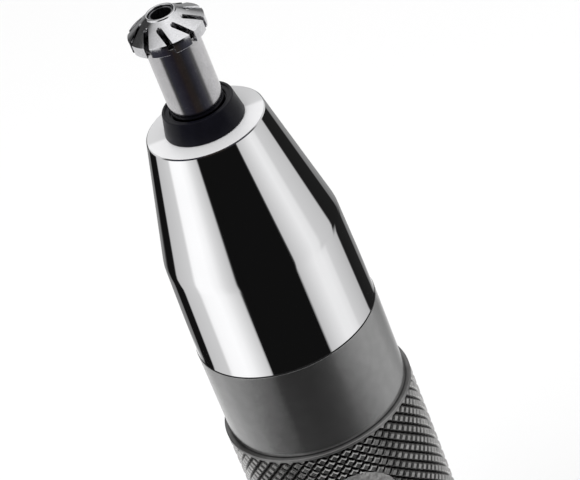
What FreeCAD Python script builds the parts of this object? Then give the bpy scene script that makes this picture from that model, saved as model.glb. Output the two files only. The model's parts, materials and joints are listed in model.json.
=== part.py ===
"""Battery nose hair trimmer: knurled metal grip, chrome nose, pull-off rotary cutting head.

Units are millimetres. +Z runs up the trimmer's axis from the end cap's flat base, which is the
origin, to the cutting head. -Y is the front, where the thumb switch is.
"""

import math
import os

import FreeCAD
import Part

V = FreeCAD.Vector
UP = V(0, 0, 1)
ORIGIN = V(0, 0, 0)

# ---------------------------------------------------------------- driving dimensions
# Power cell, IEC LR6 (AA)
cell_radius = 7.1
cell_length = 50.5
cell_nub_radius = 2.75
cell_nub_height = 1.2
cell_nub_edge = 0.25
cell_shoulder = 0.6

# Radial build-up around the cell, from the inside out
cell_gap = 0.3
battery_tube_wall = 2.35
slip_gap = 0.05
sleeve_wall = 1.75

# End cap
cap_height = 13.8
cap_floor = 2.2
cap_chamfer = 0.6
cap_spigot_length = 8.0
cap_spigot_wall = 1.25
thread_height = 0.4
thread_pitch = 1.5
thread_turns = 4
thread_start = 2.2
thread_half_share = 0.32
cap_ring_height = 1.0
base_groove_radius = 7.4
base_groove_width = 0.7
base_groove_depth = 0.35

# Negative contact in the cap
contact_plate_thickness = 0.4
spring_space = 6.4
spring_wire_tilt = 0.05
spring_wire_radius = 0.35
spring_radius = 3.6
spring_turns = 4

# Grip sleeve and its smooth switch pad
shoulder_step = 0.55
sleeve_chamfer = 0.35
switch_bay_length = 16.3
recess_width = 8.0
recess_length = 19.0
recess_depth = 1.0
recess_top_below_grip = 8.2

# Thumb switch
knob_width = 6.4
knob_chamfer = 0.3
knob_proud = 1.45
knob_rib_count = 5
knob_rib_pitch = 1.35
knob_rib_depth = 0.45
knob_stem_root = 0.3
stem_width = 3.0
stem_length = 4.0
stem_side_gap = 0.2
switch_travel = 2.5
carrier_width = 4.6
carrier_thickness = 0.45
carrier_overlap = 0.6
carrier_gap = 0.3
switch_body_width = 4.0
switch_body_depth = 3.2
switch_body_length = 8.6
switch_pin_width = 0.5
switch_pin_length = 1.6
switch_pin_pitch = 2.2
lever_size = 1.5
board_thickness = 1.0
board_above_switch = 1.6

# Front band, gasket and chrome nose
band_length = 12.2
band_wall = 1.4
band_spigot_length = 3.0
band_spigot_wall = 0.75
gasket_thickness = 0.15
gasket_inset = 0.1
nose_base_inset = 0.06
nose_kink_height = 12.0
nose_kink_inset = 0.42
nose_top_land = 2.24
nose_wall = 1.2
nose_plate = 1.4
nose_edge = 0.12
nose_spigot_length = 4.0

# Motor
motor_radius = 6.0
motor_flat = 5.0
motor_length = 20.0
motor_standoff = 4.2
motor_wall = 0.4
motor_boss_radius = 1.6
motor_boss_height = 0.8
end_bell_thickness = 2.4
shaft_radius = 0.75
armature_radius = 3.9
armature_length = 8.0
armature_hub_radius = 1.25
armature_arm_width = 1.5
armature_slot_gap = 0.1
pole_shoe_thickness = 0.7
pole_shoe_half_angle = 46.0
winding_build = 0.9
winding_corner_share = 0.6
winding_hub_gap = 0.75
magnet_gap = 0.25
magnet_thickness = 1.1
magnet_length = 12.0
magnet_half_angle = 46.0
commutator_radius = 1.5
commutator_length = 2.4
commutator_standoff = 0.4
commutator_cut = 0.2
winding_standoff = 0.2
brush_size = 1.0
terminal_offset = 2.4
terminal_width = 1.0
terminal_thickness = 0.3
terminal_length = 1.5
cradle_margin = 1.0
cradle_split_gap = 0.1
cradle_screw_radius = 0.6
cradle_screw_head_radius = 1.1
cradle_screw_head_height = 0.7
cradle_screw_clearance = 0.05
cradle_screw_inset = 4.0
cradle_screw_sink = 0.2
cradle_screw_tip_gap = 0.5
cradle_screw_slot_width = 0.3

# Switch frame, contacts and leads
frame_wall = 1.2
frame_floor = 1.4
positive_plate_radius = 5.0
positive_plate_thickness = 0.35
frame_gap = 0.3
frame_front_clearance = 0.6
riser_width = 2.0
riser_gap = 0.1
clip_width = 3.0
clip_thickness = 0.3
clip_channel_depth = 0.7
clip_channel_gap = 0.15
clip_dimple_radius = 1.0
clip_dimple_tip_radius = 0.4
clip_foot = 0.5
lead_radius = 0.4
lead_hole_gap = 0.1
arc_share = 0.45
lead_drop = 2.2

# Drive coupling between the motor and the cutter
coupling_radius = 2.2
coupling_length = 8.0
coupling_standoff = 0.2
coupling_shaft_depth = 4.0
coupling_socket_gap = 0.1
coupling_edge = 0.3
coupling_web = 0.4
coupling_spring_turns = 3
coupling_spring_wire = 0.12
coupling_spring_length = 1.2
drive_flats = 1.5

# Pull-off head: collar, neck tube and bushings
head_standoff = 1.0
seat_gap = 0.05
collar_spigot_length = 6.0
collar_spigot_wall = 1.05
collar_base_wall = 1.56
collar_top_wall = 1.01
collar_height = 2.7
collar_lip_gap = 0.35
collar_recess_depth = 1.0
collar_floor = 1.0
collar_floor_lip = 0.4
collar_edge = 0.12
ring_section_radius = 0.27
running_gap = 0.05
press_gap = 0.02
neck_radius = 3.15
neck_wall = 0.5
neck_exposed = 11.74
cutter_shaft_radius = 0.9
bushing_length = 3.0
shaft_clip_radius = 1.7
shaft_clip_thickness = 0.3

# Slotted guard cap and the cutter inside it
guard_overhang = 1.25
guard_band_height = 1.32
guard_wall = 0.3
guard_slope_deg = 32.4
guard_rim_radius = 1.8
guard_rim_height = 0.2
guard_rim_edge = 0.08
guard_hole_radius = 1.5
guard_lip_gap = 0.3
guard_lip_thickness = 0.23
neck_flange_thickness = 0.25
slot_count = 10
slot_width = 0.65
slot_inner_radius = 2.7
slot_phase_deg = -2.0
blade_count = 4
blade_thickness = 0.45
blade_gap = 0.06
cutter_hub_gap = 0.1
cutter_hub_wall = 0.2
cutter_plate_thickness = 0.25
cutter_plate_radius = 2.7
cutter_hub_recess = 0.2
blade_phase_deg = 0.0

# ---------------------------------------------------------------- derived radii
tube_inner_radius = cell_radius + cell_gap
tube_outer_radius = tube_inner_radius + battery_tube_wall
sleeve_inner_radius = tube_outer_radius + slip_gap
grip_radius = sleeve_inner_radius + sleeve_wall
band_radius = grip_radius - shoulder_step
band_inner_radius = band_radius - band_wall
nose_base_radius = band_radius - nose_base_inset
nose_kink_radius = nose_base_radius - nose_kink_inset
nose_spigot_radius = band_inner_radius - slip_gap
thread_crest_radius = sleeve_inner_radius - 2 * slip_gap
thread_root_radius = thread_crest_radius - thread_height
cap_bore_radius = thread_root_radius - cap_spigot_wall
cradle_radius = nose_spigot_radius - nose_wall - slip_gap
recess_plane = grip_radius - recess_depth
neck_bore_radius = neck_radius - neck_wall
collar_spigot_radius = neck_radius + collar_spigot_wall
collar_base_radius = neck_radius + collar_base_wall
collar_top_radius = neck_radius + collar_top_wall
collar_lip_radius = neck_radius + collar_lip_gap
guard_radius = neck_radius + guard_overhang
guard_lip_radius = neck_radius + guard_lip_gap
socket_bore_radius = collar_spigot_radius + running_gap
guard_bore_radius = guard_radius - guard_wall
nose_top_radius = collar_base_radius + nose_top_land
guard_slope = math.tan(math.radians(guard_slope_deg))

# ---------------------------------------------------------------- derived heights
z_cell0 = cap_floor + contact_plate_thickness + spring_space
z_cell1 = z_cell0 + cell_length
z_grip0 = cap_height
z_grip1 = z_cell1 + switch_bay_length
z_band1 = z_grip1 + band_length
z_motor0 = z_grip1 + motor_standoff
z_motor1 = z_motor0 + motor_length
z_coupling0 = z_motor1 + motor_boss_height + coupling_standoff
z_coupling1 = z_coupling0 + coupling_length
z_collar0 = z_coupling1 + head_standoff
z_nose1 = z_collar0 + collar_spigot_length
z_nose_kink = z_band1 + nose_kink_height
z_tube0 = z_collar0 + collar_floor
z_guard0 = z_nose1 + neck_exposed
z_flange0 = z_guard0 + guard_lip_thickness + press_gap
z_flange1 = z_flange0 + neck_flange_thickness
z_guard_edge = z_guard0 + guard_band_height
z_guard_rim = z_guard_edge + guard_slope * (guard_radius - guard_rim_radius)
z_guard1 = z_guard_rim + guard_rim_height
z_battery_tube0 = z_grip0 + cap_spigot_length + 2 * cell_gap
z_frame0 = z_cell1 + positive_plate_thickness
z_frame_floor = z_frame0 + frame_floor
z_frame1 = z_motor0 - frame_front_clearance
z_frame_step = z_grip1 - band_spigot_length - frame_gap
z_recess1 = z_grip1 - recess_top_below_grip
z_switch = z_recess1 - recess_length / 2
slot_length = stem_length + switch_travel + 2 * stem_side_gap
knob_length = slot_length + switch_travel
z_knob = z_switch - switch_travel / 2
z_body0 = z_frame_floor + slip_gap
z_body = z_body0 + switch_body_length / 2
z_body1 = z_body0 + switch_body_length
z_lever = z_body - switch_travel / 2
z_carrier0 = z_knob - stem_length / 2 - carrier_overlap
z_carrier1 = z_lever + lever_size / 2 + carrier_overlap
z_commutator0 = z_motor0 + end_bell_thickness + commutator_standoff
z_armature0 = z_commutator0 + commutator_length + winding_build + winding_standoff
z_socket_floor = z_coupling0 + coupling_shaft_depth + coupling_web
z_drive0 = z_socket_floor + coupling_spring_length + press_gap


# ---------------------------------------------------------------- shape helpers
def turned(profile):
    """Solid of revolution about Z from (radius, height) corners, in order."""
    points = [V(r, 0, z) for r, z in profile]
    face = Part.Face(Part.makePolygon(points + points[:1]))
    return face.revolve(ORIGIN, UP, 360)


def disc(radius, z0, z1):
    return Part.makeCylinder(radius, z1 - z0, V(0, 0, z0))


def ring(outer, inner, z0, z1):
    return turned([(inner, z0), (outer, z0), (outer, z1), (inner, z1)])


def block(x0, x1, y0, y1, z0, z1):
    return Part.makeBox(x1 - x0, y1 - y0, z1 - z0, V(x0, y0, z0))


def torus_ring(mid_radius, section_radius, z):
    return Part.makeTorus(mid_radius, section_radius, V(0, 0, z))


def stadium(width, length, y_back, y_front, z_mid):
    """Upright slot-shaped prism facing -Y, from y_back out to y_front."""
    half = width / 2
    run = length / 2 - half
    depth = y_back - y_front
    core = block(-half, half, y_front, y_back, z_mid - run, z_mid + run)
    centres = [V(0, y_front, z_mid - run), V(0, y_front, z_mid + run)]
    ends = [Part.makeCylinder(half, depth, centre, V(0, 1, 0)) for centre in centres]
    return core.fuse(ends).removeSplitter()


def turned_about_z(shape, degrees):
    copy = shape.copy()
    copy.rotate(ORIGIN, UP, degrees)
    return copy


def spun(shape, count, phase=0.0):
    """count copies of shape, evenly spaced about Z."""
    return [turned_about_z(shape, phase + i * 360.0 / count) for i in range(count)]


def coil(radius, wire_radius, z0, z1, turns):
    """Helical spring whose wire stays between z0 and z1."""
    height = z1 - z0 - 2 * wire_radius
    path = Part.makeHelix(height / turns, height, radius)
    path.translate(V(0, 0, z0 + wire_radius))
    start = V(radius, 0, z0 + wire_radius)
    section = Part.Wire(Part.makeCircle(wire_radius, start, V(0, 1, 0)))
    sweep = Part.BRepOffsetAPI.MakePipeShell(path)
    sweep.setFrenetMode(True)
    sweep.add(section)
    sweep.build()
    sweep.makeSolid()
    return sweep.shape()


def wire_run(points, radius, bend=arc_share):
    """Round lead along points: straight runs joined by tangent arcs."""
    edges = []
    start = points[0]
    for before, corner, after in zip(points, points[1:], points[2:]):
        to_before = (before - corner).normalize()
        to_after = (after - corner).normalize()
        half_turn = (math.pi - to_before.getAngle(to_after)) / 2
        cut = bend * min(before.distanceToPoint(corner), after.distanceToPoint(corner))
        arc_in = corner + to_before * cut
        arc_out = corner + to_after * cut
        sagitta = cut * (1 / math.cos(half_turn) - 1) / math.tan(half_turn)
        middle = corner + (to_before + to_after).normalize() * sagitta
        edges += [Part.LineSegment(start, arc_in).toShape(), Part.Arc(arc_in, middle, arc_out).toShape()]
        start = arc_out
    edges.append(Part.LineSegment(start, points[-1]).toShape())
    path = Part.Wire(edges)
    section = Part.Wire(Part.makeCircle(radius, points[0], points[1] - points[0]))
    return path.makePipeShell([section], True, True)


def hexagon(across_flats, z0, z1):
    corner = across_flats / math.sqrt(3)
    angles = [math.radians(60 * i) for i in range(6)]
    points = [V(corner * math.cos(a), corner * math.sin(a), z0) for a in angles]
    return Part.Face(Part.makePolygon(points + points[:1])).extrude(V(0, 0, z1 - z0))


def sector(reach, half_angle_deg, z0, z1):
    """Wedge about Z that opens along +X, for cutting an arc out of a ring."""
    angle = math.radians(half_angle_deg)
    x = reach * math.cos(angle)
    y = reach * math.sin(angle)
    corners = [V(0, 0, z0), V(x, -y, z0), V(x, y, z0), V(0, 0, z0)]
    return Part.Face(Part.makePolygon(corners)).extrude(V(0, 0, z1 - z0))


def nose_outer_radius(z):
    """Outer radius of the chrome nose at height z."""
    if z < z_nose_kink:
        share = (z - z_band1) / nose_kink_height
        return nose_base_radius + share * (nose_kink_radius - nose_base_radius)
    share = (z - z_nose_kink) / (z_nose1 - z_nose_kink)
    return nose_kink_radius + share * (nose_top_radius - nose_kink_radius)


def guard_inner_height(radius):
    """Height of the guard cap's inner cone at a radius."""
    drop = guard_wall / math.cos(math.radians(guard_slope_deg))
    return z_guard_edge + guard_slope * (guard_radius - radius) - drop


# ---------------------------------------------------------------- end cap group
def end_cap():
    z_top = z_grip0 - slip_gap
    spigot_top = z_grip0 + cap_spigot_length
    groove_floor = thread_root_radius - ring_section_radius
    groove_half = ring_section_radius + slip_gap
    z_ring = z_grip0 + cap_ring_height
    body = turned([
        (0, 0), (band_radius - cap_chamfer, 0), (band_radius, cap_chamfer), (band_radius, z_top),
        (thread_root_radius, z_top), (thread_root_radius, z_ring - groove_half),
        (groove_floor, z_ring - groove_half), (groove_floor, z_ring + groove_half),
        (thread_root_radius, z_ring + groove_half), (thread_root_radius, spigot_top),
        (cap_bore_radius, spigot_top), (cap_bore_radius, cap_floor), (0, cap_floor),
    ])
    groove = ring(base_groove_radius + base_groove_width, base_groove_radius, -1, base_groove_depth)
    body = body.cut(groove)
    half = thread_pitch * thread_half_share
    flat = half / 4
    ridges = []
    for turn in range(thread_turns):
        z = z_grip0 + thread_start + turn * thread_pitch
        ridges.append(turned([
            (thread_root_radius - thread_height / 2, z - half), (thread_root_radius, z - half),
            (thread_crest_radius, z - flat), (thread_crest_radius, z + flat),
            (thread_root_radius, z + half), (thread_root_radius - thread_height / 2, z + half),
        ]))
    return body.fuse(ridges).removeSplitter()


def cap_seal_ring():
    return torus_ring(thread_root_radius + press_gap, ring_section_radius, z_grip0 + cap_ring_height)


def contact_plate():
    z0 = cap_floor + seat_gap
    return disc(cap_bore_radius - running_gap, z0, z0 + contact_plate_thickness)


def negative_spring():
    z0 = cap_floor + seat_gap + contact_plate_thickness + spring_wire_tilt
    return coil(spring_radius, spring_wire_radius, z0, z_cell0 - seat_gap - spring_wire_tilt, spring_turns)


# ---------------------------------------------------------------- cell and its housing
def battery_cell():
    z_can = z_cell1 - cell_nub_height
    foot = cell_shoulder / 2
    return turned([
        (0, z_cell0), (cell_radius - foot, z_cell0), (cell_radius, z_cell0 + foot),
        (cell_radius, z_can - cell_shoulder), (cell_radius - cell_shoulder, z_can), (0, z_can),
    ])


def cell_terminal():
    z_can = z_cell1 - cell_nub_height
    return turned([
        (0, z_can), (cell_nub_radius, z_can), (cell_nub_radius, z_cell1 - cell_nub_edge),
        (cell_nub_radius - cell_nub_edge, z_cell1), (0, z_cell1),
    ])


def battery_tube():
    """Liner round the cell, with a channel at the front that the switch carrier slides in."""
    tube = ring(tube_outer_radius, tube_inner_radius, z_battery_tube0, z_cell1)
    return tube.cut(carrier_passage(z_carrier0 - carrier_gap, z_cell1 + 1))


def positive_contact():
    """Brass plate on the cell, with a riser that reaches the switch's lower pin."""
    plate = disc(positive_plate_radius, z_cell1, z_cell1 + positive_plate_thickness)
    riser = block(-riser_width / 2, riser_width / 2, pin_end, pin_end + positive_plate_thickness,
                  z_cell1, z_body - switch_pin_pitch + switch_pin_width)
    return plate.fuse(riser).removeSplitter()


# ---------------------------------------------------------------- grip sleeve
def grip_sleeve():
    body = turned([
        (sleeve_inner_radius, z_grip0), (grip_radius - sleeve_chamfer, z_grip0),
        (grip_radius, z_grip0 + sleeve_chamfer), (grip_radius, z_grip1 - sleeve_chamfer),
        (grip_radius - sleeve_chamfer, z_grip1), (sleeve_inner_radius, z_grip1),
    ])
    recess = stadium(recess_width, recess_length, -recess_plane, -grip_radius - 1, z_switch)
    slot = block(-stem_width / 2 - stem_side_gap, stem_width / 2 + stem_side_gap, -grip_radius, 0,
                 z_switch - slot_length / 2, z_switch + slot_length / 2)
    return body.cut([recess, slot])


# ---------------------------------------------------------------- thumb switch
knob_back = -recess_plane - running_gap
knob_front = knob_back - knob_proud
carrier_front = carrier_gap - math.sqrt(sleeve_inner_radius ** 2 - (carrier_width / 2) ** 2)
carrier_back = carrier_front + carrier_thickness
switch_front = carrier_back + carrier_gap
switch_back = switch_front + switch_body_depth
pin_end = switch_back + switch_pin_length
passage_half = carrier_width / 2 + carrier_gap


def carrier_passage(z0, z1):
    """Clear way for the carrier, from the sleeve in to its back face, between two heights."""
    return block(-passage_half, passage_half, -grip_radius, carrier_back + carrier_gap, z0, z1)


def switch_knob():
    knob = stadium(knob_width, knob_length, knob_back, knob_front, z_knob)
    front_edges = [e for e in knob.Edges if e.BoundBox.YMax < knob_front + press_gap]
    knob = knob.makeChamfer(knob_chamfer, front_edges)
    grooves = []
    groove_half = knob_rib_pitch / 2 / 2
    for i in range(knob_rib_count):
        z = z_knob + (i - (knob_rib_count - 1) / 2) * knob_rib_pitch
        grooves.append(block(-knob_width, knob_width, knob_front - 1, knob_front + knob_rib_depth,
                             z - groove_half, z + groove_half))
    stem = block(-stem_width / 2, stem_width / 2, knob_back - knob_stem_root, carrier_front,
                 z_knob - stem_length / 2, z_knob + stem_length / 2)
    return knob.cut(grooves).fuse(stem).removeSplitter()


def switch_carrier():
    """Thin slide under the sleeve that carries the knob's push up to the switch's lever."""
    return block(-carrier_width / 2, carrier_width / 2, carrier_front, carrier_back, z_carrier0, z_carrier1)


def switch_lever():
    half = lever_size / 2
    return block(-half, half, carrier_back, carrier_back + lever_size, z_lever - half, z_lever + half)


def switch_body():
    half = switch_body_width / 2
    body = block(-half, half, switch_front, switch_back, z_body0, z_body1)
    channel_half = lever_size / 2 + running_gap
    reach = (lever_size + switch_travel) / 2 + carrier_gap
    channel = block(-channel_half, channel_half, switch_front - 1, carrier_back + lever_size + carrier_gap,
                    z_body - reach, z_body + reach)
    return body.cut(channel)


def switch_pins():
    half = switch_pin_width / 2
    pins = []
    for z in switch_pin_heights():
        pins.append(block(-half, half, switch_back, pin_end, z - half, z + half))
    return Part.makeCompound(pins)


def switch_pin_heights():
    return [z_body + i * switch_pin_pitch for i in (-1, 0, 1)]


# ---------------------------------------------------------------- switch frame and wiring
frame_outer_radius = sleeve_inner_radius - slip_gap
frame_neck_radius = sleeve_inner_radius - slip_gap - band_spigot_wall - slip_gap
frame_bore_radius = frame_neck_radius - frame_wall
clip_back = frame_outer_radius - clip_channel_depth
clip_front = clip_back + clip_thickness
z_clip0 = z_frame_floor + clip_foot
z_clip1 = z_frame_step - clip_foot
z_ground_lead = z_clip1 - 2 * lead_radius


def switch_frame():
    """Cup between the cell and the motor: holds the switch, its board and the ground clip."""
    body = turned([
        (0, z_frame0), (frame_outer_radius, z_frame0), (frame_outer_radius, z_frame_step),
        (frame_neck_radius, z_frame_step), (frame_neck_radius, z_frame1), (frame_bore_radius, z_frame1),
        (frame_bore_radius, z_frame_floor), (0, z_frame_floor),
    ])
    window_top = max(z_body1, z_carrier1 + switch_travel) + carrier_gap
    window = block(-passage_half, passage_half, -grip_radius, 0, z_frame_floor, window_top)
    clip_half = clip_width / 2 + clip_channel_gap
    clip_channel = block(-clip_half, clip_half, clip_back, grip_radius, z_clip0 - clip_channel_gap,
                         z_clip1 + clip_channel_gap)
    riser_half = riser_width / 2 + riser_gap
    riser_slot = block(-riser_half, riser_half, pin_end - riser_gap,
                       pin_end + positive_plate_thickness + riser_gap, z_frame0 - 1, z_frame_floor + 1)
    lead_hole = Part.makeCylinder(lead_radius + lead_hole_gap, grip_radius, V(0, 0, z_ground_lead),
                                  V(0, 1, 0))
    passage = carrier_passage(z_frame0 - 1, z_frame_floor)
    return body.cut([window, passage, clip_channel, riser_slot, lead_hole])


def switch_board():
    """Circuit board that the switch is soldered to; its edges seat in the frame's bore."""
    half = math.sqrt(frame_bore_radius ** 2 - switch_back ** 2) - slip_gap
    board = block(-half, half, switch_back, switch_back + board_thickness, z_body0,
                  z_body1 + board_above_switch)
    pin_half = switch_pin_width / 2 + press_gap
    holes = [block(-pin_half, pin_half, switch_back - 1, pin_end, z - pin_half, z + pin_half)
             for z in switch_pin_heights()]
    return board.cut(holes)


def ground_clip():
    """Brass strip in the frame's rear channel; its dimple touches the metal sleeve."""
    strip = block(-clip_width / 2, clip_width / 2, clip_back + press_gap, clip_front, z_clip0, z_clip1)
    z_dimple = (z_clip0 + z_ground_lead) / 2
    dimple = Part.makeCone(clip_dimple_radius, clip_dimple_tip_radius,
                           sleeve_inner_radius - press_gap - clip_front, V(0, clip_front,
                                                                           z_dimple), V(0, 1, 0))
    return strip.fuse(dimple).removeSplitter()


z_terminal = z_motor0 - terminal_length


def motor_terminals():
    tabs = []
    for x in (-terminal_offset, terminal_offset):
        tabs.append(block(x - terminal_width / 2, x + terminal_width / 2, -terminal_thickness / 2,
                          terminal_thickness / 2, z_terminal, z_motor0))
    return Part.makeCompound(tabs)


def switched_lead():
    """Insulated lead from the switch's upper pin to one motor terminal."""
    z_pin = switch_pin_heights()[-1]
    return wire_run([
        V(0, pin_end + press_gap, z_pin), V(0, pin_end / 2, z_pin),
        V(-terminal_offset, 0, z_pin + 2 * lead_drop), V(-terminal_offset, 0, z_terminal - press_gap),
    ], lead_radius)


def ground_lead():
    """Insulated lead from the ground clip, through the frame's wall, to the other motor terminal."""
    return wire_run([
        V(0, clip_back, z_ground_lead), V(0, clip_back / 2, z_ground_lead),
        V(terminal_offset, 0, z_ground_lead + lead_drop), V(terminal_offset, 0, z_terminal - press_gap),
    ], lead_radius)


# ---------------------------------------------------------------- front band and nose
def front_band():
    spigot_outer = sleeve_inner_radius - slip_gap
    z0 = z_grip1 + slip_gap
    return turned([
        (spigot_outer - band_spigot_wall, z_grip1 - band_spigot_length),
        (spigot_outer, z_grip1 - band_spigot_length), (spigot_outer, z0), (band_radius, z0),
        (band_radius, z_band1 - gasket_thickness), (band_inner_radius, z_band1 - gasket_thickness),
        (band_inner_radius, z0 + band_wall), (spigot_outer - band_spigot_wall, z0 + band_wall),
    ])


def nose_gasket():
    return ring(nose_base_radius - gasket_inset, band_inner_radius, z_band1 - gasket_thickness, z_band1)


def nose_cone():
    z_plate = z_nose1 - nose_plate
    z_spigot = z_band1 - nose_spigot_length
    hole = socket_bore_radius + running_gap
    return turned([
        (nose_spigot_radius - nose_wall, z_spigot), (nose_spigot_radius, z_spigot),
        (nose_spigot_radius, z_band1), (nose_base_radius, z_band1), (nose_kink_radius, z_nose_kink),
        (nose_outer_radius(z_nose1 - nose_edge), z_nose1 - nose_edge), (nose_top_radius - nose_edge, z_nose1),
        (hole, z_nose1), (hole, z_plate), (nose_outer_radius(z_plate) - nose_wall, z_plate),
        (nose_kink_radius - nose_wall, z_nose_kink), (nose_spigot_radius - nose_wall, z_band1),
    ])


def head_socket():
    """Plastic insert under the nose's top plate; the head's collar plugs into its bore."""
    z_top = z_nose1 - nose_plate
    z_low = z_collar0 - cell_gap
    fit = nose_wall + press_gap
    return turned([
        (socket_bore_radius, z_low), (nose_outer_radius(z_low) - fit, z_low),
        (nose_outer_radius(z_top) - fit, z_top), (socket_bore_radius, z_top),
    ])


# ---------------------------------------------------------------- motor
def motor_section(radius, flat, z0, z1):
    """Round bar with two flats, facing +X and -X."""
    return disc(radius, z0, z1).common(block(-flat, flat, -radius, radius, z0, z1))


def motor_can():
    outer = motor_section(motor_radius, motor_flat, z_motor0, z_motor1)
    inner = motor_section(motor_radius - motor_wall, motor_flat - motor_wall, z_motor0 - 1,
                          z_motor1 - motor_wall)
    hole = disc(motor_boss_radius, z_motor0, z_motor1 + 1)
    return outer.cut([inner, hole])


def motor_bearing():
    return ring(motor_boss_radius - press_gap, shaft_radius + running_gap, z_motor1 - motor_boss_height,
                z_motor1 + motor_boss_height)


def motor_end_bell():
    gap = motor_wall + press_gap
    plug = motor_section(motor_radius - gap, motor_flat - gap, z_motor0, z_motor0 + end_bell_thickness)
    return plug.cut(disc(shaft_radius + running_gap, z_motor0 - 1, z_motor1))


def motor_magnets():
    inner = armature_radius + magnet_gap
    overhang = (magnet_length - armature_length) / 2
    arc = ring(inner + magnet_thickness, inner, z_armature0 - overhang,
               z_armature0 + armature_length + overhang)
    fit = motor_wall + press_gap
    keep = motor_section(motor_radius - fit, motor_flat - fit, z_motor0, z_motor1)
    magnet = arc.common(sector(2 * motor_radius, magnet_half_angle, z_motor0, z_motor1)).common(keep)
    return Part.makeCompound(spun(magnet, 2, 90))


def motor_brushes():
    half = brush_size / 2
    z = z_commutator0 + commutator_length / 2
    inner = commutator_radius + running_gap
    brush = block(inner, motor_flat - motor_wall - running_gap, -half, half, z - half, z + half)
    return Part.makeCompound(spun(brush, 2))


def motor_shaft():
    return disc(shaft_radius, z_motor0 + cell_gap, z_coupling0 + coupling_shaft_depth)


def armature_core():
    z0 = z_armature0
    z1 = z0 + armature_length
    arm = block(0, armature_radius - armature_slot_gap, -armature_arm_width / 2,
                armature_arm_width / 2, z0, z1)
    shoe = ring(armature_radius, armature_radius - pole_shoe_thickness, z0, z1)
    shoe = shoe.common(sector(2 * motor_radius, pole_shoe_half_angle, z0, z1))
    core = disc(armature_hub_radius, z0, z1).fuse(spun(arm, 3) + spun(shoe, 3)).removeSplitter()
    return core.cut(disc(shaft_radius + press_gap, z0 - 1, z1 + 1))


def armature_windings():
    z0 = z_armature0 - winding_build
    z1 = z_armature0 + armature_length + winding_build
    r0 = armature_hub_radius + winding_hub_gap
    r1 = armature_radius - pole_shoe_thickness - armature_slot_gap
    half = armature_arm_width / 2 + press_gap
    pack = block(r0, r1, -half - winding_build, half + winding_build, z0, z1)
    edges_outward = [e for e in pack.Edges if e.BoundBox.XLength > press_gap]
    pack = pack.makeFillet(winding_build * winding_corner_share, edges_outward)
    hole = block(0, motor_radius, -half, half, z_armature0 - press_gap,
                 z_armature0 + armature_length + press_gap)
    space = disc(armature_radius - pole_shoe_thickness - press_gap, z0 - 1, z1 + 1)
    return Part.makeCompound(spun(pack.cut(hole).common(space), 3))


def commutator():
    z1 = z_commutator0 + commutator_length
    barrel = ring(commutator_radius, shaft_radius + press_gap, z_commutator0, z1)
    half = commutator_cut / 2
    gap = block(0, motor_radius, -half, half, z_commutator0 + commutator_standoff, z_motor1)
    return barrel.cut(spun(gap, 3, 60))


def cradle_half(sign):
    """One half of the plastic cradle round the motor. sign -1 is the front half, 1 the rear."""
    z0 = z_motor0 - cell_gap
    z1 = z_motor1 - cradle_margin
    body = disc(cradle_radius, z0, z1)
    gap = slip_gap
    pocket = motor_section(motor_radius + gap, motor_flat + gap, z_motor0, z1 + 1)
    floor_hole = disc(motor_flat - 1, z0 - 1, z_motor0)
    keep_y0, keep_y1 = sorted((sign * cradle_split_gap / 2, sign * cradle_radius))
    keep = block(-cradle_radius, cradle_radius, keep_y0, keep_y1, z0, z1)
    half = body.cut([pocket, floor_hole]).common(keep)
    holes = []
    for x, z in cradle_screw_places():
        holes.append(Part.makeCylinder(cradle_screw_radius + cradle_screw_clearance, 2 * screw_reach(),
                                       V(x, -screw_reach(), z), V(0, 1, 0)))
        holes.append(Part.makeCylinder(cradle_screw_head_radius + cradle_screw_clearance, cradle_radius,
                                       V(x, -screw_reach() + cradle_screw_head_height - cradle_radius, z),
                                       V(0, 1, 0)))
    return half.cut(holes)


def cradle_screw_places():
    x = (motor_flat + cradle_radius) / 2
    heights = (z_motor0 + cradle_screw_inset, z_motor1 - cradle_screw_inset)
    return [(side * x, z) for side in (-1, 1) for z in heights]


def screw_reach():
    """Distance from the split plane to the screw heads' outer faces."""
    x = (motor_flat + cradle_radius) / 2 + cradle_screw_head_radius
    return math.sqrt(cradle_radius ** 2 - x ** 2) - cradle_screw_sink


def cradle_front():
    return cradle_half(-1)


def cradle_rear():
    return cradle_half(1)


def cradle_screws():
    reach = screw_reach()
    half = cradle_screw_slot_width / 2
    screws = []
    for x, z in cradle_screw_places():
        foot = V(x, -reach, z)
        shank = Part.makeCylinder(cradle_screw_radius, 2 * reach - cradle_screw_tip_gap, foot, V(0, 1, 0))
        head = Part.makeCylinder(cradle_screw_head_radius, cradle_screw_head_height, foot, V(0, 1, 0))
        slot = block(x - cradle_screw_head_radius, x + cradle_screw_head_radius, -reach - 1,
                     -reach + cradle_screw_head_height / 2, z - half, z + half)
        screws.append(shank.fuse(head).cut(slot).removeSplitter())
    return Part.makeCompound(screws)


# ---------------------------------------------------------------- drive coupling
def drive_coupling():
    body = turned([
        (0, z_coupling0), (coupling_radius, z_coupling0), (coupling_radius, z_coupling1 - coupling_edge),
        (coupling_radius - coupling_edge, z_coupling1), (0, z_coupling1),
    ])
    shaft_bore = disc(shaft_radius + press_gap, z_coupling0 - 1,
                      z_coupling0 + coupling_shaft_depth + press_gap)
    socket = hexagon(drive_flats + 2 * coupling_socket_gap, z_socket_floor, z_coupling1 + 1)
    return body.cut([shaft_bore, socket])


def coupling_spring():
    radius = drive_flats / 2 - coupling_spring_wire
    return coil(radius, coupling_spring_wire, z_socket_floor, z_drive0 - press_gap,
                coupling_spring_turns)


# ---------------------------------------------------------------- pull-off head
z_head_ring = z_collar0 + collar_spigot_length / 2
head_groove_floor = collar_spigot_radius - 2 * ring_section_radius - press_gap


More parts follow.
